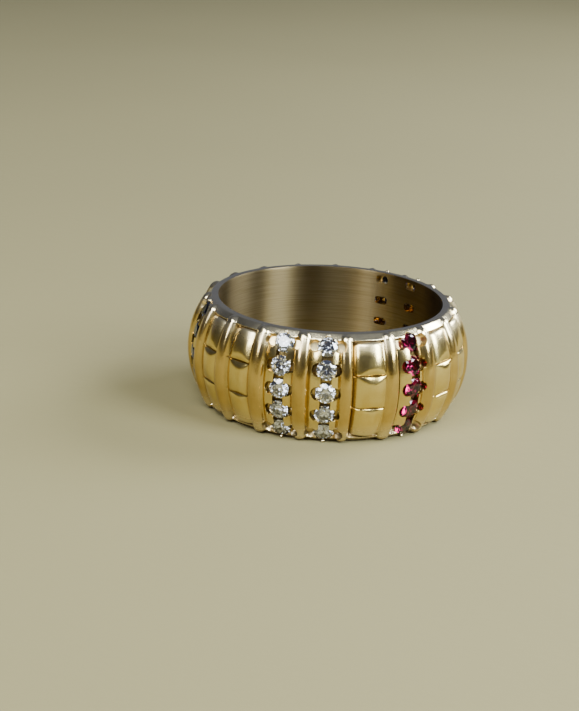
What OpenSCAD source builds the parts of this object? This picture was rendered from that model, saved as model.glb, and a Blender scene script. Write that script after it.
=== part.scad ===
// Wide domed finger ring of cast yellow gold, lying on its rim.
// Broad panels and narrow ribs alternate round the band, and six of the panels carry a
// column of five small brilliants each: one of rubies, two of diamonds, three of sapphires.
// The axis of the finger hole is Z, and the middle of the front panel faces -Y.

/* [Band] */
// Diameter of the finger hole
bore_d = 17.3; // [17.1:0.1:17.5]
// Height of the band along the finger
band_h = 8.3; // [8.2:0.05:8.4]
// Radius of the ring at the crest of its dome
crest_r = 10.75; // [10.7:0.05:10.8]
// Radius of the dome along the finger
dome_r = 7.3; // [7.2:0.05:7.4]
// Depth of the grooves between panels and ribs
groove_depth = 0.6; // [0.55:0.05:0.65]
// Bevel at both ends of the finger hole
bore_bevel = 0.1; // [0.05:0.05:0.15]

/* [Rim] */
// Width of the flat ring on each side, outside the finger hole
rim_flat_w = 0.5; // [0.45:0.05:0.55]
// Height of the sloping shoulder under the flat ring
shoulder_h = 0.38; // [0.35:0.01:0.4]
// Radius of the foot of the shoulder
shoulder_r = 9.58; // [9.55:0.01:9.6]
// Height of the upright edge under the shoulder
collar_h = 0.1; // [0.08:0.01:0.12]

/* [Panels] */
// Number of panels, with as many ribs between them
panels = 19; // [19:1:20]
// Width of a panel round the ring
panel_w = 2.45; // [2.4:0.05:2.5]
// Radius of a panel across its width
panel_arc_r = 2.0; // [1.9:0.05:2.1]
// Height of the end of a plain panel above the middle of the band
panel_end_h = 3.57; // [3.53:0.01:3.59]
// Height of the two cross grooves above and below the middle of the band
cross_groove_at = 1.3; // [1.2:0.05:1.35]
// Half width of a cross groove
cross_groove_w = 0.2; // [0.16:0.01:0.24]
// Depth of a cross groove
cross_groove_depth = 0.12; // [0.1:0.01:0.14]

/* [Ribs] */
// Radius of a rib across its width
rib_r = 0.6; // [0.58:0.01:0.6]
// Height of the centre of a rib's round end above the middle of the band
rib_end_h = 3.54; // [3.51:0.01:3.55]
// Height that a rib stands prouder than the panels
rib_proud = 0.15; // [0.12:0.01:0.16]
// Distance that a rib stands nearer to the panel on its left
rib_shift = 0.22; // [0.2:0.01:0.24]

/* [Stones] */
// Diameter of a stone
stone_d = 1.5; // [1.46:0.01:1.52]
// Distance from stone to stone along the dome
stone_pitch = 1.78; // [1.74:0.01:1.79]
// Depth of a stone's widest part below the crest
girdle_depth = 0.3; // [0.28:0.01:0.32]
// Clear space round a stone
stone_gap = 0.03; // [0.02:0.01:0.04]

/* [Settings] */
// Width of the channel that runs through a column of stones
channel_w = 0.8; // [0.76:0.02:0.84]
// Radius of the channel's floor at the middle of the band
channel_mid_r = 10.25; // [10.2:0.05:10.3]
// Radius of the channel's floor at the rims
channel_rim_r = 9.2; // [9.15:0.05:9.25]
// Radius of the round scallops beside each stone
scallop_r = 0.42; // [0.4:0.01:0.44]
// Distance of a scallop's centre from the middle of its column
scallop_at = 0.62; // [0.6:0.01:0.64]
// The same distance beside the first and the last stone
end_scallop_at = 0.92; // [0.9:0.01:0.94]
// Depth of a scallop's floor below the crest
scallop_depth = 0.5; // [0.48:0.01:0.52]
// Radius of the round opening between the prongs of a stone
prong_clear_r = 0.68; // [0.66:0.01:0.7]
// Width of the open back behind a stone, round the ring
back_w = 1.1; // [1:0.05:1.15]
// Height of the open back behind a stone
back_h = 0.62; // [0.58:0.01:0.66]
// Distance from open back to open back along the finger
back_pitch = 1.78; // [1.74:0.01:1.79]

/* [Hidden] */
gold = [0.80, 0.66, 0.38];
diamond = [0.86, 0.90, 0.94];
ruby = [0.60, 0.06, 0.22];
sapphire = [0.05, 0.07, 0.20];

// A column of stones: name, number of its panel from the front one, colour
COLUMNS = [
    ["diamond_front", 0, diamond],
    ["diamond_left", -1, diamond],
    ["ruby", 2, ruby],
    ["sapphire_left", -4, sapphire],
    ["sapphire_rear_right", 7, sapphire],
    ["sapphire_rear", 8, sapphire],
];
NAME = 0;
PANEL = 1;
COLOUR = 2;
column_stones = 5;

bore_r = bore_d / 2;
half_h = band_h / 2;
dome_at = crest_r - dome_r;
pitch_a = 360 / panels;
panel_end_a = asin(panel_end_h / dome_r);
cross_groove_a = asin(cross_groove_at / dome_r);
rib_line_r = dome_r + rib_proud - rib_r;
rib_end_a = asin(rib_end_h / rib_line_r);
rib_step = 0.5 - rib_shift / crest_r * 180 / PI / pitch_a;
// The round end of a rib is a little smaller than the rib, so that the two don't share an edge
rib_tip_r = rib_r - 0.02;
shoulder_z = half_h - shoulder_h;
collar_z = shoulder_z - collar_h;
collar_foot_h = 0.22;
floor_r = dome_r - groove_depth;
// The rim's solid section ends inside the hoop, at this radius
rim_body_r = dome_at + 0.84 * floor_r;
// Panels and ribs are sunk this far into the hoop
sunk = 0.3;

stone_r = stone_d / 2;
table_r = 0.56 * stone_r;
star_r = 0.76 * stone_r;
lower_r = 0.23 * stone_r;
crown_h = 0.32 * stone_r;
pavilion_h = 0.86 * stone_r;
girdle_h = 0.06 * stone_r;
crown_slope = (crown_h - girdle_h / 2) / (stone_r - table_r);
stone_a = stone_pitch / dome_r * 180 / PI;
seat_depth = pavilion_h + stone_gap;
// A stone panel reaches under the shoulder, so that the last prongs stand on it
stone_panel_a = asin((shoulder_z + collar_h) / dome_r);
channel_floor_r = (pow(channel_mid_r - channel_rim_r, 2) + half_h * half_h)
    / (2 * (channel_mid_r - channel_rim_r));
channel_a = asin((half_h + sunk) / channel_floor_r);
// An open back reaches this far past the tip of its seat
back_reach = 0.15;
over = 1;

function stone_name(column, n) = str(column[NAME], "_", n);

// Turns a piece that is drawn on the +X side to the panel with this number
module at_panel(i) {
    rotate([0, 0, i * pitch_a - 90]) children();
}

// Sweeps a flat section along an arc round the tangent line through (centre_r, 0)
module along_arc(centre_r, half_a) {
    translate([centre_r, 0, 0]) rotate([90, 0, 0]) rotate([0, 0, -half_a])
        rotate_extrude(angle = 2 * half_a, $fn = 120) children();
}

// Moves a piece to a radius from the dome's centre, at an angle above the middle
module on_dome(r, a) {
    translate([dome_at, 0, 0]) rotate([0, -a, 0]) translate([r, 0, 0]) children();
}

// Half of the rim's section, from the finger hole out to the shoulder
module rim_section() {
    polygon([
        [bore_r, 0],
        [bore_r, half_h - bore_bevel],
        [bore_r + bore_bevel, half_h],
        [bore_r + rim_flat_w, half_h],
        [shoulder_r, shoulder_z],
        [shoulder_r, collar_z],
        [rim_body_r, collar_z - collar_foot_h],
        [rim_body_r, 0],
    ]);
}

// The hoop under the panels and ribs, with a flat rim and a shoulder on each side
module hoop() {
    rotate_extrude($fn = 240) {
        intersection() {
            translate([dome_at, 0]) circle(floor_r, $fn = 240);
            translate([bore_r, -collar_z]) square([dome_r, 2 * collar_z]);
        }
        rim_section();
        mirror([0, 1]) rim_section();
    }
}

module panel_blank(half_a) {
    along_arc(dome_at, half_a) intersection() {
        translate([dome_r - panel_arc_r, 0]) circle(panel_arc_r, $fn = 120);
        translate([floor_r - sunk, -panel_w / 2]) square([groove_depth + 2 * sunk, panel_w]);
    }
}

// A groove across a panel, which follows its curve
module cross_groove(a) {
    spread_a = 40;
    on_dome(dome_r - panel_arc_r, a) rotate([0, 0, -spread_a])
        rotate_extrude(angle = 2 * spread_a, $fn = 120) polygon([
            [panel_arc_r - cross_groove_depth, 0],
            [panel_arc_r + cross_groove_depth, 2 * cross_groove_w],
            [panel_arc_r + cross_groove_depth, -2 * cross_groove_w],
        ]);
}

module plain_panel() {
    difference() {
        panel_blank(panel_end_a);
        for (a = [panel_end_a, cross_groove_a, -cross_groove_a, -panel_end_a])
            cross_groove(a);
    }
}

module rib() {
    along_arc(dome_at, rib_end_a) intersection() {
        translate([rib_line_r, 0]) circle(rib_r, $fn = 72);
        translate([floor_r - sunk, -rib_r]) square([groove_depth + rib_r, 2 * rib_r]);
    }
    for (a = [rib_end_a, -rib_end_a]) on_dome(rib_line_r, a)
        sphere(rib_tip_r, $fn = 72);
}

// Places a piece on stone number n of a column, with the stone's axis along Z
module at_stone(n) {
    k = (column_stones + 1) / 2 - n;
    on_dome(dome_r - girdle_depth, k * stone_a) rotate([0, 90, 0]) children();
}

// The seat cut for a stone, open between its four prongs
module seat() {
    wide_r = stone_r + stone_gap;
    rotate_extrude($fn = 72) polygon([
        [0, -seat_depth],
        [wide_r, -girdle_h / 2 - stone_gap / 2],
        [wide_r, girdle_h / 2 + stone_gap / 2],
        [prong_clear_r, girdle_h / 2 + stone_gap + (stone_r - prong_clear_r) * crown_slope],
        [prong_clear_r, over],
        [0, over],
    ]);
}

module scallops(n) {
    at = n == 1 || n == column_stones ? end_scallop_at : scallop_at;
    for (side = [-1, 1])
        translate([0, side * at, girdle_depth - scallop_depth])
            cylinder(h = over, r = scallop_r, $fn = 72);
}

// The opening from the finger hole into the back of a seat
module open_back(n) {
    k = (column_stones + 1) / 2 - n;
    seat_tip = dome_at + (dome_r - girdle_depth - seat_depth) * cos(k * stone_a);
    depth = seat_tip - bore_r + back_reach;
    translate([bore_r - over / 2, -back_w / 2, k * back_pitch - back_h / 2])
        cube([depth + over / 2, back_w, back_h]);
}

// All that the setter cuts out of one column's panel
module column_cuts() {
    along_arc(channel_mid_r - channel_floor_r, channel_a)
        translate([channel_floor_r, -channel_w / 2]) square([2 * over, channel_w]);
    for (n = [1 : column_stones]) {
        at_stone(n) seat();
        at_stone(n) scallops(n);
        open_back(n);
    }
}

module band() {
    stone_panels = [for (c = COLUMNS) (c[PANEL] + panels) % panels];
    color(gold) translate([0, 0, half_h]) difference() {
        union() {
            hoop();
            for (i = [0 : panels - 1]) {
                at_panel(i) {
                    if (len(search(i, stone_panels)) > 0) panel_blank(stone_panel_a);
                    else plain_panel();
                }
                at_panel(i + rib_step) rib();
            }
        }
        for (c = COLUMNS) at_panel(c[PANEL]) column_cuts();
    }
}

// Eight points of a ring on a stone, starting half a step round if asked
function eight(r, z, half_step) =
    [for (i = [0 : 7]) [r * cos(45 * i + 22.5 * half_step), r * sin(45 * i + 22.5 * half_step), z]];

// A round brilliant: table, eight stars, eight kites, sixteen upper halves, girdle,
// sixteen lower halves and eight pavilion facets that meet in a point
module brilliant() {
    star_z = crown_h - (star_r * cos(22.5) - table_r) * crown_slope;
    pavilion_slope = (pavilion_h - girdle_h / 2) / stone_r;
    lower_z = lower_r * cos(22.5) * pavilion_slope - pavilion_h;
    points = concat(
        eight(table_r, crown_h, 0),
        eight(star_r, star_z, 1),
        eight(stone_r, girdle_h / 2, 0),
        eight(stone_r, girdle_h / 2, 1),
        eight(stone_r, -girdle_h / 2, 0),
        eight(stone_r, -girdle_h / 2, 1),
        eight(lower_r, lower_z, 1),
        [[0, 0, -pavilion_h]]
    );
    table = 0;
    star = 8;
    upper = 16;
    upper_half = 24;
    under = 32;
    under_half = 40;
    lower = 48;
    tip = 56;
    faces = concat(
        [[for (i = [7 : -1 : 0]) table + i]],
        [for (i = [0 : 7]) let (j = (i + 1) % 8) each [
            [table + i, table + j, star + i],
            [table + j, star + j, upper + j, star + i],
            [star + i, upper_half + i, upper + i],
            [star + i, upper + j, upper_half + i],
            [upper + i, upper_half + i, under_half + i, under + i],
            [upper_half + i, upper + j, under + j, under_half + i],
            [under + i, under_half + i, lower + i],
            [under_half + i, under + j, lower + i],
            [under + j, lower + j, tip, lower + i],
        ]]
    );
    polyhedron(points, faces);
}

module stone(column, n) {
    color(column[COLOUR]) translate([0, 0, half_h])
        at_panel(column[PANEL]) at_stone(n) brilliant();
}

band();
for (c = COLUMNS, n = [1 : column_stones])
    stone(c, n);
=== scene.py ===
"""Looks of a wide domed finger ring of cast yellow gold with columns of small brilliants.

The band's solid is replaced by one finer mesh on the same sizes. Sizes are in millimetres and
angles round the ring in pitches, where 0 is the middle of the front panel and 1 the next panel
to the right. Heights are from the middle of the band until a mesh is lifted onto the floor.
Positions along the dome are arc lengths from its crest, called q.
"""
import math

import bmesh
import bpy
import numpy as np
from mathutils import Matrix, Vector


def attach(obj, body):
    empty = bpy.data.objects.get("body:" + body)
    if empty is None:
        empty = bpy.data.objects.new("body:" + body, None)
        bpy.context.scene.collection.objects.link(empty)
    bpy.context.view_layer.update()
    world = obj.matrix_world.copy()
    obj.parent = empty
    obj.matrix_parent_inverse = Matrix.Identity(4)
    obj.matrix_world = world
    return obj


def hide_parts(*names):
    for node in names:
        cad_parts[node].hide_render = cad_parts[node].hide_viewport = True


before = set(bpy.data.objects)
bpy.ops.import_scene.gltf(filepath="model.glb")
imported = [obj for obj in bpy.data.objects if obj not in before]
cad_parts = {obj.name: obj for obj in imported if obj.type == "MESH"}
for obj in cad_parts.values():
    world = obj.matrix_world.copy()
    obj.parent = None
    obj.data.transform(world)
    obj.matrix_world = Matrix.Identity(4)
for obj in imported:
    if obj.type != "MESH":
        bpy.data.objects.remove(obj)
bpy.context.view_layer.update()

MM = 0.001
PHOTO_W, PHOTO_H = 579, 711

# The band's section, as in the CAD model
BORE_R = 8.65
HALF_H = 4.15
CREST_R = 10.75
DOME_R = 7.3
DOME_AT = CREST_R - DOME_R
RIM_INNER_R = 8.8
RIM_FLAT_R = 9.15
RIM_ROUND = 0.09
SHOULDER_R = 9.58
SHOULDER_Z = 3.77
COLLAR_Z = 3.67
PANELS = 19
PITCH = 2 * math.pi / PANELS
PITCH_MM = PITCH * CREST_R

# The left edge and right edge of a panel, the line of the rib on its right with the rib's reach to
# the left and right, in pitches from the panel's middle; then how far its cross grooves sit above
# the middle of the band. The panels that the photograph shows from the front vary a little.
PANEL_LEFT, PANEL_RIGHT = -0.41, 0.285
PANEL_SHAPE = (-0.43, PANEL_RIGHT, 0.437, 0.172, 0.175, 0.08)
SEEN_SHAPES = {
    -3: (-0.440, 0.285, 0.437, 0.172, 0.175, 0.10),
    -2: (-0.440, 0.272, 0.432, 0.182, 0.185, 0.12),
    -1: (-0.379, 0.285, 0.445, 0.183, 0.178, 0.08),
    0: (-0.375, 0.290, 0.425, 0.155, 0.145, 0.08),
    1: (-0.465, 0.290, 0.440, 0.170, 0.165, 0.07),
    2: (-0.391, 0.290, 0.440, 0.170, 0.172, 0.08),
}
SHAPE_SPREAD = 0.006
LIFT_END_Q, LIFT_FADE = 3.4, 1.2
# Where the stretch that belongs to a panel begins, and the one that belongs to its rib
PANEL_FROM = -0.45
RIB_FROM = 0.05

# The arch of a panel across its width, steeper to the right of its crest, with a flank that
# rounds down on its left
ARC_SHIFT = 0.18
PANEL_ARC_R = 2.1
PANEL_LEFT_R = 4.2
SET_LEFT_R = 3.4
ARC_LEAST = 0.01
PANEL_FLANK = 0.75
SET_FLANK = 0.12
FLANK_FULL = 1.6
# The share of its radius that a rounded edge stops at, just before it is upright
STEEPEST = 0.98

# The cushions of a plain panel along the dome, and where a panel with stones ends
GROOVE_Q = 1.29
GROOVE_HALF = 0.07
GROOVE_DEPTH = 0.1
GROOVE_FADE = 0.35
CUSHION_EDGE = 0.66
CUSHION_EDGE_R = 1.1
CUSHION_HALF_W = 1.15
CUSHION_EDGE_LEAST = 0.1
PANEL_END_Q = 3.87
PANEL_END_SLACK = 0.02
END_EDGE = 0.3
END_EDGE_R = 0.45
SET_END_Z = SHOULDER_Z + 0.1

# The ribs, whose section is a circle on the left and fuller than one on the right
RIB_PROUD = 0.14
RIB_FALL = 0.68
RIB_FALL_LEFT = 0.5
RIB_CIRCLE = 2.0
RIB_FULL = 2.7
RIB_END_Z = 3.54
RIB_END_BLEND = 0.3
RIB_LINE_R = DOME_R + RIB_PROUD - 0.6
RIB_MARK_END, RIB_MARK_FADE = 1.05, 0.15

# The deepest a groove goes, at the end of a plain panel and anywhere; then the height that stands
# for no surface, and how softly ribs and rim meet what is beside them
END_FLOOR_H = -0.36
FLOOR_H = -0.64
GONE_H = -2.0
PLAIN_HOLLOW = 0.12
SET_HOLLOW = 0.04
RIM_HOLLOW = 0.03

# The finger hole: its rounded edge as (outwards, down) from the bore and the rim, then its rows
BORE_EDGE = ((0.05, 0), (0.012, 0.02), (0, 0.08))
BORE_ROWS_Z = HALF_H - 0.3
BORE_ROWS = 15
BORE_WORN_Z = HALF_H - 0.2
BORE_FACE_R = BORE_R + 0.03

# Steps of the mesh over a panel and from there to the next
PANEL_COLS = 18
GAP_COLS = 16

# The unevenness of the outside and of the bore: size, number of waves, shortest and longest wave
RIPPLE = (0.006, 14, 1.2, 4.5)
RIPPLE_FADE = 0.4
BORE_RIPPLE = (0.004, 8, 3.0, 9.0)

# Columns of stones: node name, panel and kind
COLUMNS = (
    ("diamond_front", 0, "diamond"),
    ("diamond_left", -1, "diamond"),
    ("ruby", 2, "ruby"),
    ("sapphire_left", -4, "sapphire"),
    ("sapphire_rear_right", 7, "sapphire"),
    ("sapphire_rear", 8, "sapphire"),
)
COLUMN_STONES = 5
STONE_R = 0.75
STONE_PITCH = 1.78
GIRDLE_DEPTH = 0.3
STONE_GAP = 0.03
TABLE_R = 0.56 * STONE_R
CROWN_H = 0.32 * STONE_R
PAVILION_H = 0.86 * STONE_R
GIRDLE_H = 0.06 * STONE_R
CROWN_SLOPE = (CROWN_H - GIRDLE_H / 2) / (STONE_R - TABLE_R)

# What the setter cuts round the stones: how far past the girdles the cuts reach and their sides,
# then the channel, the scallops, the prongs and the open backs
CUT_TOP = 1.0
SEAT_SIDES = 40
SCALLOP_SIDES = 28
CHANNEL_W = 0.8
CHANNEL_MID_R = 10.25
CHANNEL_RIM_R = 9.2
CHANNEL_END_Z = 3.6
CHANNEL_CUT = 2
CHANNEL_STEPS = 29
SCALLOP_R = 0.42
SCALLOP_AT = 0.62
END_SCALLOP_AT = 0.92
SCALLOP_FLOOR_H = GIRDLE_DEPTH - 0.5
SCALLOP_LIP = 0.08
SCALLOP_LIP_H = 0.0
SCALLOP_LIP_STEEP = 1.6
SCALLOP_DRAFT = 0.01
# The dished floor of a scallop, as (share of its radius, height over its floor)
SCALLOP_DISH = ((0, -0.04), (0.8, -0.02), (1, 0.09))
PRONG_CLEAR_R = 0.68
PRONG_AT = 0.76
PRONG_H = 0.18
PRONG_SIZE = (0.10, 0.16, 0.15)
PRONG_SIDES = 14
BALL = [(math.cos(a), math.sin(a)) for a in np.radians(np.linspace(-90, 90, 9))]
BACK_W = 1.1
BACK_H = 0.62
BACK_PITCH = 1.78
BACK_REACH = 0.15
BACK_START_R = BORE_R - 0.5
BACK_SIDES = 28
# How square an open back is: 1 would be an ellipse
BACK_SQUARE = 0.55
# Points closer than this are merged after the cuts
WELD = 0.0005

rng = np.random.default_rng(19)


# The band's surface

def rounded(points, radius, steps=4, most=0.45):
    """A path through 2D points with its inner corners rounded, over most of a side at most."""
    points = [np.array(p, float) for p in points]
    out = [points[0]]
    for before, at, after in zip(points, points[1:], points[2:]):
        to_before, to_after = before - at, after - at
        lengths = np.linalg.norm(to_before), np.linalg.norm(to_after)
        cut = min(radius, most * min(lengths))
        start, end = at + to_before / lengths[0] * cut, at + to_after / lengths[1] * cut
        for k in range(steps + 1):
            u = k / steps
            out.append((1 - u) ** 2 * start + 2 * u * (1 - u) * at + u * u * end)
    out.append(points[-1])
    return np.array(out)


RIM_PATH = rounded([(SHOULDER_R, COLLAR_Z), (SHOULDER_R, SHOULDER_Z), (RIM_FLAT_R, HALF_H),
                    (RIM_INNER_R, HALF_H)], RIM_ROUND)
RIM_A = np.arctan2(RIM_PATH[:, 1], RIM_PATH[:, 0] - DOME_AT)
RIM_RHO = np.hypot(RIM_PATH[:, 1], RIM_PATH[:, 0] - DOME_AT)
RIM_Q = DOME_R * RIM_A
# The points of the rim's path where plain panels stop, and where the slope of the shoulder starts
PLAIN_STOP, SLOPE_START = 2, 5


def smooth_max(a, b, soft):
    """The larger of two heights, with a hollow of about this softness where they meet."""
    gap = np.clip(0.5 + 0.5 * (a - b) / soft, 0, 1)
    return a * gap + b * (1 - gap) + soft * gap * (1 - gap)


def round_edge(distance, reach, radius):
    """How far a surface has rounded down at a distance from its edge."""
    inside = np.clip(reach - distance, 0, STEEPEST * radius)
    return radius - np.sqrt(radius * radius - inside * inside)


def panel_shapes():
    """The shape of each panel and rib, a little uneven as in hand-finished work."""
    spread = rng.uniform(-SHAPE_SPREAD, SHAPE_SPREAD, (PANELS, len(PANEL_SHAPE)))
    shapes = np.array(PANEL_SHAPE) + spread
    for i, shape in SEEN_SHAPES.items():
        shapes[i % PANELS] = shape
    return shapes


def cosine_steps(start, end, count, share=0.6):
    """Points from start up to end, closer together near both; end is left out."""
    u = np.arange(count) / count
    return start + (end - start) * (share * (1 - np.cos(np.pi * u)) / 2 + (1 - share) * u)


def ramp(stops):
    """Points through (value, number of steps to it) pairs, the first a bare start."""
    out = [stops[0][0]]
    for (a, _), (b, n) in zip(stops, stops[1:]):
        out += list(np.linspace(a, b, n + 1)[1:])
    return np.array(out)


# Rows of the mesh from the crest to the end of the panels, then over the rim
HALF_ROWS = ramp([(0, 0), (0.95, 6), (GROOVE_Q - 0.1, 3), (GROOVE_Q, 3), (GROOVE_Q + 0.1, 3),
                  (1.65, 3), (3.0, 8), (3.65, 5), (PANEL_END_Q - 0.04, 3), (PANEL_END_Q, 1),
                  (PANEL_END_Q + 0.03, 1), (PANEL_END_Q + 0.055, 1)])
SLOPE_ROWS = ramp([(RIM_Q[SLOPE_START], 0), (RIM_Q[SLOPE_START + 1], 8)])
RIM_ROWS = np.concatenate([RIM_Q[:SLOPE_START + 1], SLOPE_ROWS[1:-1], RIM_Q[SLOPE_START + 1:]])


def panel_heights(tau, away, panel, plain, shapes):
    """Height of the panels: cushions on the plain ones, one smooth arch on those with stones."""
    left, right = shapes[panel % PANELS, :2].T
    local = tau - panel
    across = local * PITCH_MM
    to_left, to_right = (local - left) * PITCH_MM, (right - local) * PITCH_MM
    on_panel = (to_left > 0) & (to_right > 0)
    from_crest = across - np.where(plain, ARC_SHIFT, 0.0)
    arc_r = np.where(from_crest > 0, PANEL_ARC_R, np.where(plain, PANEL_LEFT_R, SET_LEFT_R))
    arc = np.sqrt(np.maximum(arc_r ** 2 - from_crest ** 2, ARC_LEAST)) - arc_r
    flank = np.where(plain, PANEL_FLANK, SET_FLANK)
    side = round_edge(to_left, flank, FLANK_FULL * flank)
    arch = np.where(on_panel, arc - side, GONE_H)[None, :]

    from_groove = np.abs(away - GROOVE_Q)
    reach = CUSHION_EDGE * np.clip(1 - (across / CUSHION_HALF_W) ** 2, CUSHION_EDGE_LEAST, 1)
    cushion = round_edge(from_groove[:, None], reach[None, :], CUSHION_EDGE_R)
    cushion += round_edge(np.abs(away - PANEL_END_Q), END_EDGE, END_EDGE_R)[:, None]
    groove = GROOVE_DEPTH * np.clip(1 - from_groove / GROOVE_HALF, 0, 1)
    cushion += groove[:, None] * np.clip(to_left / GROOVE_FADE, 0, 1)
    past_end = (away > PANEL_END_Q + PANEL_END_SLACK)[:, None]
    plain_h = np.where(past_end, np.minimum(arch, END_FLOOR_H), arch - cushion)
    plain_h = np.where((away > RIM_Q[PLAIN_STOP])[:, None], GONE_H, plain_h)

    set_end = DOME_R * math.asin(SET_END_Z / DOME_R)
    set_h = np.where((away > set_end)[:, None], GONE_H, arch)
    return np.where(plain[None, :], plain_h, set_h)


def nearest_rib(tau, shapes):
    """How far each point is to the right of its rib, and the rib's two reaches, in pitches."""
    beside = np.floor(tau - RIB_FROM).astype(int)
    rib_at, reach_left, reach_right = shapes[beside % PANELS, 2:5].T
    return tau - beside - rib_at, reach_left, reach_right


def rib_heights(tau, away, shapes):
    """Height of the ribs, which round down at their ends."""
    end_a = math.asin(RIB_END_Z / RIB_LINE_R)
    past = (np.clip(away / DOME_R - end_a, 0, None) * RIB_LINE_R)[:, None]
    from_rib, reach_left, reach_right = nearest_rib(tau, shapes)
    on_left = from_rib < 0
    reach = np.where(on_left, reach_left, reach_right) * PITCH_MM
    span = np.hypot((from_rib * PITCH_MM)[None, :], past) / reach[None, :]
    fall = np.where(on_left, RIB_FALL_LEFT, RIB_FALL)[None, :]
    fuller = (RIB_FULL - RIB_CIRCLE) * np.clip(1 - past / RIB_END_BLEND, 0, 1)
    power = np.where(on_left, RIB_CIRCLE, RIB_CIRCLE + fuller)
    rib = RIB_PROUD - fall * (1 - np.clip(1 - span ** power, 0, 1) ** (1 / power))
    return np.where(span < 1, rib, GONE_H)


def height_field(tau, q, shapes):
    """Height over the dome at pitches tau (columns) and distances q along the dome (rows)."""
    away = np.abs(q)
    panel = np.floor(tau - PANEL_FROM).astype(int)
    stone_panels = [i % PANELS for _, i, _ in COLUMNS]
    plain = ~np.isin(panel % PANELS, stone_panels)
    hollow = np.where(plain, PLAIN_HOLLOW, SET_HOLLOW)[None, :]
    height = smooth_max(panel_heights(tau, away, panel, plain, shapes),
                        rib_heights(tau, away, shapes), hollow)
    rim = np.interp(away / DOME_R, RIM_A, RIM_RHO - DOME_R)
    rim = np.where(away < RIM_Q[0] - 1e-9, GONE_H, rim)
    return np.maximum(smooth_max(height, rim[:, None], RIM_HOLLOW), FLOOR_H)


def ripple(tau, q, size, count, short, long):
    """A gentle hand-finished unevenness that closes on itself round the ring."""
    out = np.zeros((len(q), len(tau)))
    round_ring = 2 * math.pi * CREST_R
    for _ in range(count):
        waves = rng.integers(int(round_ring / long), int(round_ring / short))
        along = 2 * math.pi / rng.uniform(short, long)
        out += np.sin(tau[None, :] * PITCH * waves + q[:, None] * along * rng.choice((-1, 1))
                      + rng.uniform(0, 2 * math.pi))
    return size * out / math.sqrt(count)


def band_mesh(shapes):
    """The whole band as rows that run round the ring: over the outside, then down the bore."""
    tau = np.concatenate([np.concatenate([
        cosine_steps(i + PANEL_LEFT, i + PANEL_RIGHT, PANEL_COLS),
        cosine_steps(i + PANEL_RIGHT, i + 1 + PANEL_LEFT, GAP_COLS)]) for i in range(PANELS)])
    half = np.unique(np.round(np.concatenate([HALF_ROWS, RIM_ROWS]), 5))
    q = np.concatenate([-half[:0:-1], half])
    worn_share = np.clip((RIM_Q[-2] - np.abs(q)) / RIPPLE_FADE, 0, 1)[:, None]
    rho = DOME_R + (height_field(tau, q, shapes) + ripple(tau, q, *RIPPLE) * worn_share)
    around = np.arange(-1, PANELS + 1)
    lift = np.interp(tau, around, shapes[around % PANELS, 5])
    lift_share = np.clip((LIFT_END_Q - np.abs(q)) / LIFT_FADE, 0, 1)
    a = (q[:, None] + lift[None, :] * lift_share[:, None]) / DOME_R
    rows_r = list(DOME_AT + rho * np.cos(a))
    rows_z = list(np.clip(rho * np.sin(a), -HALF_H, HALF_H))

    edge = [(BORE_R + out, HALF_H - down) for out, down in BORE_EDGE]
    bore_z = np.linspace(BORE_ROWS_Z, -BORE_ROWS_Z, BORE_ROWS)
    inside = edge + [(BORE_R, z) for z in bore_z] + [(r, -z) for r, z in edge[::-1]]
    worn = ripple(tau, np.array([z for _, z in inside]), *BORE_RIPPLE)
    for k, (r, z) in enumerate(inside):
        rows_r.append(r + np.maximum(worn[k], 0) * (abs(z) < BORE_WORN_Z))
        rows_z.append(np.full(len(tau), z))

    r, z = np.array(rows_r), np.array(rows_z)
    theta = (tau * PITCH)[None, :]
    verts = np.stack([r * np.sin(theta), -r * np.cos(theta), z + HALF_H], 2).reshape(-1, 3)
    n_rows, n_cols = r.shape
    i, j = np.meshgrid(np.arange(n_rows), np.arange(n_cols), indexing="ij")
    i1, j1 = (i + 1) % n_rows, (j + 1) % n_cols
    faces = np.stack([i * n_cols + j, i * n_cols + j1, i1 * n_cols + j1, i1 * n_cols + j], 2)
    return make_mesh("band_cast", verts, faces.reshape(-1, 4).tolist())


# Small mesh helpers

def make_mesh(name, verts, faces):
    """A mesh object from points in millimetres."""
    mesh = bpy.data.meshes.new(name)
    mesh.from_pydata((np.asarray(verts) * MM).tolist(), [], faces)
    mesh.validate()
    mesh.update()
    ob = bpy.data.objects.new(name, mesh)
    bpy.context.scene.collection.objects.link(ob)
    return ob


def turned(profile, sides):
    """A closed solid turned round Z from (radius, z) points that start and end on the axis."""
    verts, faces = [(0, 0, profile[0][1])], []
    for r, z in profile[1:-1]:
        turns = (2 * math.pi * k / sides for k in range(sides))
        verts += [(r * math.cos(turn), r * math.sin(turn), z) for turn in turns]
    verts.append((0, 0, profile[-1][1]))
    last = len(verts) - 1
    for k in range(sides):
        k1 = (k + 1) % sides
        faces.append((0, 1 + k1, 1 + k))
        for row in range(len(profile) - 3):
            a = 1 + row * sides
            faces.append((a + k, a + k1, a + sides + k1, a + sides + k))
        faces.append((last - sides + k, last - sides + k1, last))
    return verts, faces


def swept(rings):
    """A closed solid through rings of equal length, with flat ends."""
    n = len(rings[0])
    verts = [p for ring in rings for p in ring]
    faces = [tuple(range(n))[::-1], tuple(range(len(verts) - n, len(verts)))]
    for row in range(len(rings) - 1):
        a = row * n
        faces += [(a + k, a + (k + 1) % n, a + n + (k + 1) % n, a + n + k) for k in range(n)]
    return verts, faces


def joined(name, solids):
    """One mesh object from (matrix, (verts, faces)) pairs."""
    verts, faces = [], []
    for matrix, (v, f) in solids:
        base = len(verts)
        verts += [tuple(matrix @ Vector(p)) for p in v]
        faces += [tuple(base + k for k in face) for face in f]
    return make_mesh(name, verts, faces)


def at_panel(i):
    """The frame of a panel, with X outwards through its middle."""
    turn = Matrix.Rotation(i * PITCH - math.pi / 2, 4, "Z")
    return Matrix.Translation((0, 0, HALF_H)) @ turn


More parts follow.
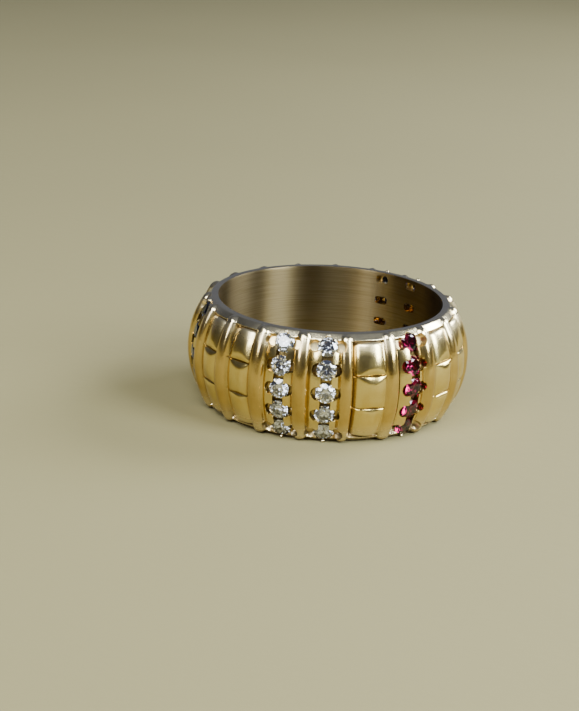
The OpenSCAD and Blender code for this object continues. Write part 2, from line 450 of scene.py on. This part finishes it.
def stone_rise(n):
    """How many stones the nth of a column is above the middle one."""
    return (COLUMN_STONES + 1) / 2 - n


def at_stone(n):
    """The frame of a stone's girdle on its panel, with Z outwards."""
    a = stone_rise(n) * STONE_PITCH / DOME_R
    on_dome = (Matrix.Translation((DOME_AT, 0, 0)) @ Matrix.Rotation(-a, 4, "Y")
               @ Matrix.Translation((DOME_R - GIRDLE_DEPTH, 0, 0)))
    return on_dome @ Matrix.Rotation(math.pi / 2, 4, "Y")


# What the setter cuts out and adds

def seat_profile():
    """The stone's own outline with its gap, open to the outside between the prongs."""
    wide = STONE_R + STONE_GAP
    half = GIRDLE_H / 2 + STONE_GAP / 2
    clear_z = GIRDLE_H / 2 + STONE_GAP + (STONE_R - PRONG_CLEAR_R) * CROWN_SLOPE
    return [(0, -PAVILION_H - STONE_GAP), (wide, -half), (wide, half),
            (PRONG_CLEAR_R, clear_z), (PRONG_CLEAR_R, CUT_TOP), (0, CUT_TOP)]


def scallop_profile():
    """A burr's cut with a slightly dished floor and a bevelled lip, open to the outside."""
    dish = [(SCALLOP_R * share, SCALLOP_FLOOR_H + rise) for share, rise in SCALLOP_DISH]
    lip_r = SCALLOP_R + SCALLOP_LIP
    bevel_z = SCALLOP_LIP_H + SCALLOP_LIP_STEEP * SCALLOP_LIP
    return dish + [(SCALLOP_R + SCALLOP_DRAFT, SCALLOP_LIP_H), (lip_r, bevel_z),
                   (lip_r, CUT_TOP), (0, CUT_TOP)]


def channel():
    """The channel down a column of stones, with a floor that is an arc from rim to rim."""
    sag = CHANNEL_MID_R - CHANNEL_RIM_R
    floor_r = (sag ** 2 + HALF_H ** 2) / (2 * sag)
    half_a = math.asin(CHANNEL_END_Z / floor_r)
    top_r, half_w = floor_r + CHANNEL_CUT, CHANNEL_W / 2
    corners = ((floor_r, -half_w), (top_r, -half_w), (top_r, half_w), (floor_r, half_w))
    return swept([[(CHANNEL_MID_R - floor_r + r * math.cos(a), y, r * math.sin(a))
                   for r, y in corners] for a in np.linspace(-half_a, half_a, CHANNEL_STEPS)])


def open_back(n):
    """The rounded window from the bore to the tip of a stone."""
    k = stone_rise(n)
    stone_tip = DOME_R - GIRDLE_DEPTH - PAVILION_H - STONE_GAP
    tip = DOME_AT + stone_tip * math.cos(k * STONE_PITCH / DOME_R)
    rings = []
    for x in (BACK_START_R, tip + BACK_REACH):
        ring = []
        for t in np.linspace(0, 2 * math.pi, BACK_SIDES, endpoint=False):
            c, s = math.cos(t), math.sin(t)
            ring.append((x, BACK_W / 2 * math.copysign(abs(c) ** BACK_SQUARE, c),
                         k * BACK_PITCH + BACK_H / 2 * math.copysign(abs(s) ** BACK_SQUARE, s)))
        rings.append(ring)
    return swept(rings)


def end_prongs():
    """The small prong that holds the outer edge of each end stone."""
    solids = []
    for _, i, _ in COLUMNS:
        for n, side in ((1, -1), (COLUMN_STONES, 1)):
            place = Matrix.Translation((side * PRONG_AT, 0, PRONG_H))
            ball = place @ Matrix.Diagonal((*PRONG_SIZE, 1))
            solids.append((at_panel(i) @ at_stone(n) @ ball, turned(BALL, PRONG_SIDES)))
    return joined("end_prongs", solids)


def cutters():
    """All that is cut from the band, as one mesh object for each kind of cut."""
    channels, seats, scallops, backs = [], [], [], []
    for _, i, _ in COLUMNS:
        panel = at_panel(i)
        channels.append((panel, channel()))
        for n in range(1, COLUMN_STONES + 1):
            stone = panel @ at_stone(n)
            seats.append((stone, turned(seat_profile(), SEAT_SIDES)))
            at = END_SCALLOP_AT if n in (1, COLUMN_STONES) else SCALLOP_AT
            for side in (-1, 1):
                scallops.append((stone @ Matrix.Translation((0, side * at, 0)),
                                 turned(scallop_profile(), SCALLOP_SIDES)))
            backs.append((panel, open_back(n)))
    return [joined("cut_channels", channels), joined("cut_seats", seats),
            joined("cut_scallops", scallops), joined("cut_backs", backs)]


def combine(ob, tools, operation):
    """Cuts closed meshes out of this one, or unites them with it."""
    for tool in tools:
        m = ob.modifiers.new("combine", "BOOLEAN")
        m.operation = operation
        m.solver = "MANIFOLD"
        m.object = tool
    bpy.context.view_layer.update()
    depsgraph = bpy.context.evaluated_depsgraph_get()
    mesh = bpy.data.meshes.new_from_object(ob.evaluated_get(depsgraph))
    ob.modifiers.clear()
    old = ob.data
    ob.data = mesh
    bpy.data.meshes.remove(old)
    for tool in tools:
        mesh = tool.data
        bpy.data.objects.remove(tool)
        bpy.data.meshes.remove(mesh)


def weld(ob):
    """Merges points almost on top of each other and takes out those in the middle of an edge."""
    mesh = bmesh.new()
    mesh.from_mesh(ob.data)
    bmesh.ops.remove_doubles(mesh, verts=mesh.verts, dist=WELD * MM)
    bmesh.ops.dissolve_verts(mesh, verts=[v for v in mesh.verts if len(v.link_edges) == 2])
    mesh.to_mesh(ob.data)
    mesh.free()


def mark_ribs(ob, shapes):
    """Marks the points that lie on a rib, where the gold is painted darker and browner as painted
    shade.
    """
    points = np.empty(3 * len(ob.data.vertices))
    ob.data.vertices.foreach_get("co", points)
    x, y, _ = points.reshape(-1, 3).T
    from_rib, reach_left, reach_right = nearest_rib(np.arctan2(x, -y) / PITCH, shapes)
    share = np.abs(from_rib) / np.where(from_rib < 0, reach_left, reach_right)
    rib_shade_mask = np.clip((RIB_MARK_END - share) / RIB_MARK_FADE, 0, 1)
    mark = ob.data.attributes.new("rib", "FLOAT", "POINT")
    mark.data.foreach_set("value", rib_shade_mask.astype(np.float32))


# Materials, with the two colours of a patchy surface from darker to lighter

PANEL_GOLD = (0.71, 0.51, 0.145), (0.84, 0.66, 0.25)
# The ribs' gold is a darker, browner copy of the panels' gold: painted shade
RIB_SHADE_GOLD = (0.56, 0.37, 0.10), (0.70, 0.50, 0.17)
# The finger hole's gold is a much darker copy of the gold: painted shade
BORE_SHADE_GOLD = (0.22, 0.16, 0.07), (0.285, 0.22, 0.11)
# A paler gold towards the ends: a painted reflection of the sky on the shoulders and rim
SKY_SHEEN_GOLD = (0.84, 0.70, 0.41)
# Painted shade: the deep brown that hollows, grooves and cuts are darkened towards
HOLLOW_SHADE_GOLD = (0.26, 0.17, 0.06)
# Dark residue and painted shade together, in the deepest hollows
RESIDUE_AND_SHADE = (0.20, 0.12, 0.045)
FLOOR_COLOURS = (0.150, 0.124, 0.046), (0.172, 0.143, 0.056)
# How many spots to a metre the noises have, then how far they stretch their spots
PATCHES, STREAKS, GRAIN = 900, 2600, 5200
CLOUD, FACET_WEAR = 2400, 9000
FLOOR_PATCHES, FLOOR_GRAIN = 6, 900
ALONG_FINGER = (1, 1, 0.06)
ROUND_RING = (0.1, 0.1, 4.0)
# Heights from the middle of the band: where the gold is painted paler as a painted reflection of
# the sky, and where handling has dulled it
SHEEN_FROM, SHEEN_TO, SHEEN_SHARE = 2.3 * MM, 3.7 * MM, 0.9
HANDLED_FROM, HANDLED_FULL = 2.7 * MM, 3.2 * MM
HANDLED_TO, HANDLED_END = 3.65 * MM, 3.8 * MM
HANDLED_ROUGH, RESIDUE_ROUGH = 0.1, 0.3
GOLD_ROUGH = 0.16, 0.23
BORE_ROUGH = 0.3
HOLLOW_REACH = 0.5 * MM
FINE_BUMP, FLOOR_BUMP = (0.006 * MM, 0.7), (0.1 * MM, 0.25)
STONE_ROUGH = 0.02, 0.08


class Nodes:
    """Short calls for building a material's nodes."""

    def __init__(self, name):
        self.mat = bpy.data.materials.new(name)
        self.mat.use_nodes = True
        self.tree = self.mat.node_tree
        self.tree.nodes.clear()
        self.out = self.add("ShaderNodeOutputMaterial")

    def feed(self, socket, value):
        """Links a socket to another one, or sets it to a number or a colour."""
        if isinstance(value, bpy.types.NodeSocket):
            self.tree.links.new(value, socket)
        else:
            socket.default_value = value

    def add(self, kind, inputs=None, **props):
        node = self.tree.nodes.new(kind)
        for key, value in props.items():
            setattr(node, key, value)
        for key, value in (inputs or {}).items():
            self.feed(node.inputs[key], value)
        return node

    def place(self):
        return self.add("ShaderNodeTexCoord").outputs["Object"]

    def noise(self, scale, detail, rough, stretch=None):
        """Noise with about this many spots to a metre."""
        place = self.place()
        if stretch:
            place = self.add("ShaderNodeMapping", {"Vector": place, "Scale": stretch}).outputs[0]
        return self.add("ShaderNodeTexNoise", {"Vector": place, "Scale": scale, "Detail": detail,
                                               "Roughness": rough}).outputs["Fac"]

    def map(self, value, lo, hi, to_lo, to_hi):
        return self.add("ShaderNodeMapRange", {"Value": value, "From Min": lo, "From Max": hi,
                                               "To Min": to_lo, "To Max": to_hi}).outputs[0]

    def spread(self, noise):
        """Stretches the middle range of a noise over 0 to 1."""
        return self.map(noise, 0.3, 0.7, 0.0, 1.0)

    def mix(self, fac, a, b):
        """Mixes two colours, each a socket or three numbers."""
        node = self.add("ShaderNodeMix", data_type="RGBA")
        self.feed(node.inputs[0], fac)
        for socket, colour in ((node.inputs[6], a), (node.inputs[7], b)):
            self.feed(socket, (*colour, 1) if isinstance(colour, tuple) else colour)
        return node.outputs[2]

    def math(self, operation, a, b=0.0):
        return self.add("ShaderNodeMath", {0: a, 1: b}, operation=operation).outputs[0]

    def bump(self, height, distance, strength):
        return self.add("ShaderNodeBump", {"Height": height, "Distance": distance,
                                           "Strength": strength}).outputs["Normal"]

    def finish(self, inputs):
        """Ends the material with a principled shader."""
        shader = self.add("ShaderNodeBsdfPrincipled", inputs)
        self.tree.links.new(shader.outputs[0], self.out.inputs["Surface"])
        return self.mat


def bore_material():
    """Gold brushed round the ring's axis, as on the inside of the finger hole, darkened as painted
    shade.
    """
    n = Nodes("brushed_gold_painted_shade")
    lines = n.spread(n.noise(STREAKS, 2, 0.5, stretch=ROUND_RING))
    tangent = n.add("ShaderNodeTangent", direction_type="RADIAL", axis="Z").outputs[0]
    return n.finish({"Base Color": n.mix(lines, *BORE_SHADE_GOLD), "Roughness": BORE_ROUGH,
                     "Metallic": 1.0, "Anisotropic": 0.9, "Anisotropic Rotation": 0.25,
                     "Tangent": tangent, "Normal": n.bump(n.noise(GRAIN, 3, 0.6), *FINE_BUMP)})


def gold_material():
    """Worn gold with painted shade in its hollows and on its ribs, and a painted sky reflection on
    its ends.
    """
    n = Nodes("worn_gold_painted_light")
    streaks = n.noise(STREAKS, 3, 0.6, stretch=ALONG_FINGER)
    patch = n.math("ADD", n.math("MULTIPLY", n.noise(PATCHES, 4, 0.6), 0.6),
                   n.math("MULTIPLY", streaks, 0.4))
    patchy = n.map(patch, 0.35, 0.68, 0.0, 1.0)
    fine = n.noise(GRAIN, 3, 0.6)
    # The ribs take a darker, browner gold: painted shade
    rib_shade_mask = n.add("ShaderNodeAttribute", attribute_name="rib").outputs["Fac"]
    colour = n.mix(rib_shade_mask, n.mix(patchy, *PANEL_GOLD), n.mix(patchy, *RIB_SHADE_GOLD))

    # Towards both ends the gold is painted paler: a painted reflection of the sky
    z = n.add("ShaderNodeSeparateXYZ", {"Vector": n.place()}).outputs["Z"]
    from_middle = n.math("ABSOLUTE", n.math("SUBTRACT", z, HALF_H * MM))
    colour = n.mix(n.map(from_middle, SHEEN_FROM, SHEEN_TO, 0.0, SHEEN_SHARE), colour, SKY_SHEEN_GOLD)

    # Painted shade: ambient occlusion darkens hollows, grooves and cuts towards a deep brown
    hollow = n.add("ShaderNodeAmbientOcclusion", {"Distance": HOLLOW_REACH},
                   samples=8).outputs["AO"]
    colour = n.mix(n.map(hollow, 0.3, 0.85, 0.95, 0.0), colour, HOLLOW_SHADE_GOLD)
    # Dark residue and painted shade in the deepest hollows, which are also made rougher
    residue_and_shade = n.map(n.math("ADD", hollow, n.map(fine, 0.3, 0.7, -0.12, 0.12)), 0.14, 0.5, 1.0, 0.0)
    colour = n.mix(residue_and_shade, colour, RESIDUE_AND_SHADE)

    handled = n.math("MULTIPLY",
                     n.map(from_middle, HANDLED_FROM, HANDLED_FULL, 0.0, HANDLED_ROUGH),
                     n.map(from_middle, HANDLED_TO, HANDLED_END, 1.0, 0.0))
    rough = n.math("ADD", n.map(patch, 0.3, 0.7, *GOLD_ROUGH), handled)
    rough = n.math("ADD", rough, n.map(residue_and_shade, 0, 1, 0.0, RESIDUE_ROUGH))
    return n.finish({"Base Color": colour, "Roughness": rough, "Metallic": 1.0,
                     "Normal": n.bump(fine, *FINE_BUMP)})


def stone_material(name, colour, deep, ior, shine):
    """A cut stone: clear inside, with a little cloud and tiny wear on its facets."""
    n = Nodes(name)
    cloud = n.spread(n.noise(CLOUD, 3, 0.6))
    worn = n.map(n.noise(FACET_WEAR, 2, 0.5), 0.4, 0.8, *STONE_ROUGH)
    return n.finish({"Base Color": n.mix(cloud, colour, deep), "Roughness": worn, "IOR": ior,
                     "Specular IOR Level": shine, "Transmission Weight": 1.0})


def floor_material():
    """A plain pale floor with a faint grain."""
    n = Nodes("pale_floor")
    soft = n.spread(n.noise(FLOOR_PATCHES, 4, 0.5))
    return n.finish({"Base Color": n.mix(soft, *FLOOR_COLOURS), "Roughness": 0.9,
                     "Normal": n.bump(n.noise(FLOOR_GRAIN, 3, 0.6), *FLOOR_BUMP)})


def dress(ob, mat):
    ob.data.materials.clear()
    ob.data.materials.append(mat)


# The object

SMOOTH_TO_DEGREES = 40
BORE_SLOT = 1

shapes = panel_shapes()
band = band_mesh(shapes)
combine(band, cutters(), "DIFFERENCE")
combine(band, [end_prongs()], "UNION")
weld(band)
mark_ribs(band, shapes)
band.data.shade_smooth()
band.data.set_sharp_from_angle(angle=math.radians(SMOOTH_TO_DEGREES))
dress(band, gold_material())
band.data.materials.append(bore_material())
for face in band.data.polygons:
    if math.hypot(face.center.x, face.center.y) < BORE_FACE_R * MM:
        face.material_index = BORE_SLOT
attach(band, "root")
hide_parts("band")

STONE_LOOKS = {
    "diamond": stone_material("clear_diamond", (0.96, 0.97, 1.0), (0.86, 0.9, 0.98),
                              ior=2.42, shine=0.5),
    "ruby": stone_material("raspberry_ruby", (0.42, 0.005, 0.085), (0.20, 0.002, 0.04),
                           ior=1.6, shine=0.25),
    "sapphire": stone_material("dark_sapphire", (0.01, 0.02, 0.10), (0.004, 0.006, 0.04),
                               ior=1.76, shine=0.3),
}
for stem, _, kind in COLUMNS:
    for n in range(1, COLUMN_STONES + 1):
        dress(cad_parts[f"{stem}_{n}"], STONE_LOOKS[kind])


# Floor, camera and light, in metres

FLOOR_SIZE = 3
CENTRE = Vector((0, 0, 4.3 * MM))
ELEVATION = 0.3216
ROLL = 0.05457
DISTANCE = 0.130
FOCAL_PX = 12.83 * 130
CENTRE_PX = (328.02, 345.71)
SENSOR_MM = 36
CLIP_START = 0.005

bpy.ops.mesh.primitive_plane_add(size=FLOOR_SIZE, location=(0, 0, 0))
floor = bpy.context.object
floor.name = "floor"
dress(floor, floor_material())

camera_data = bpy.data.cameras.new("camera")
camera_data.sensor_fit = "VERTICAL"
camera_data.sensor_height = SENSOR_MM
camera_data.lens = FOCAL_PX / PHOTO_H * SENSOR_MM
camera_data.clip_start = CLIP_START
camera_data.shift_x = -(CENTRE_PX[0] - PHOTO_W / 2) / PHOTO_H
camera_data.shift_y = -(PHOTO_H / 2 - CENTRE_PX[1]) / PHOTO_H
camera = bpy.data.objects.new("camera", camera_data)
bpy.context.scene.collection.objects.link(camera)
look = Vector((0, math.cos(ELEVATION), -math.sin(ELEVATION)))
right = Vector((1, 0, 0))
axes = Matrix((right, right.cross(look), -look)).transposed().to_4x4()
camera.matrix_world = (Matrix.Translation(CENTRE - look * DISTANCE) @ axes
                       @ Matrix.Rotation(ROLL, 4, "Z"))
bpy.context.scene.camera = camera


def area_light(name, azimuth, elevation, distance, size, watts, colour):
    """A soft light that faces the ring, at an azimuth from the camera's, positive to the right."""
    az, el = math.radians(azimuth), math.radians(elevation)
    data = bpy.data.lights.new(name, "AREA")
    data.energy = watts
    data.color = colour
    data.shape = "RECTANGLE"
    data.size, data.size_y = size
    ob = bpy.data.objects.new(name, data)
    towards = Vector((math.sin(az) * math.cos(el), -math.cos(az) * math.cos(el), math.sin(el)))
    ob.location = CENTRE + distance * towards
    ob.rotation_euler = (CENTRE - ob.location).to_track_quat("-Z", "Y").to_euler()
    bpy.context.scene.collection.objects.link(ob)


area_light("window", azimuth=61, elevation=33, distance=0.30, size=(0.13, 0.16),
           watts=2.5, colour=(0.80, 0.90, 1.0))
area_light("right_window", azimuth=118, elevation=30, distance=0.32, size=(0.17, 0.12),
           watts=2.5, colour=(0.82, 0.90, 1.0))
area_light("left_window", azimuth=-42, elevation=32, distance=0.32, size=(0.08, 0.14),
           watts=0.65, colour=(0.88, 0.93, 1.0))
area_light("high_window", azimuth=-25, elevation=57, distance=0.34, size=(0.27, 0.13),
           watts=2.1, colour=(0.86, 0.93, 1.0))

# The room: its colours by height, and lighter ones on the far side of the ring
SKY = ((0.02, (0.28, 0.24, 0.12)), (0.14, (0.15, 0.15, 0.16)),
       (0.7, (0.12, 0.14, 0.22)), (0.95, (0.32, 0.38, 0.62)))
BEHIND = ((0.25, (0, 0, 0)), (0.75, (0.28, 0.33, 0.52)))
ROOM_STRENGTH = 0.45

world = bpy.data.worlds.new("room")
bpy.context.scene.world = world
world.use_nodes = True
tree = world.node_tree
direction = tree.nodes.new("ShaderNodeTexCoord")
parts = tree.nodes.new("ShaderNodeSeparateXYZ")
tree.links.new(direction.outputs["Generated"], parts.inputs[0])


def sky_ramp(axis, stops):
    """Colours by the part of the direction along an axis."""
    node = tree.nodes.new("ShaderNodeValToRGB")
    for _ in range(len(stops) - 2):
        node.color_ramp.elements.new(0.5)
    for stop, (at, colour) in zip(node.color_ramp.elements, stops):
        stop.position, stop.color = at, (*colour, 1)
    tree.links.new(parts.outputs[axis], node.inputs["Fac"])
    return node.outputs["Color"]


lighter = tree.nodes.new("ShaderNodeMix")
lighter.data_type, lighter.blend_type = "RGBA", "LIGHTEN"
lighter.inputs["Factor"].default_value = 1.0
tree.links.new(sky_ramp("Z", SKY), lighter.inputs["A"])
tree.links.new(sky_ramp("Y", BEHIND), lighter.inputs["B"])
background = tree.nodes["Background"]
tree.links.new(lighter.outputs["Result"], background.inputs["Color"])
background.inputs["Strength"].default_value = ROOM_STRENGTH
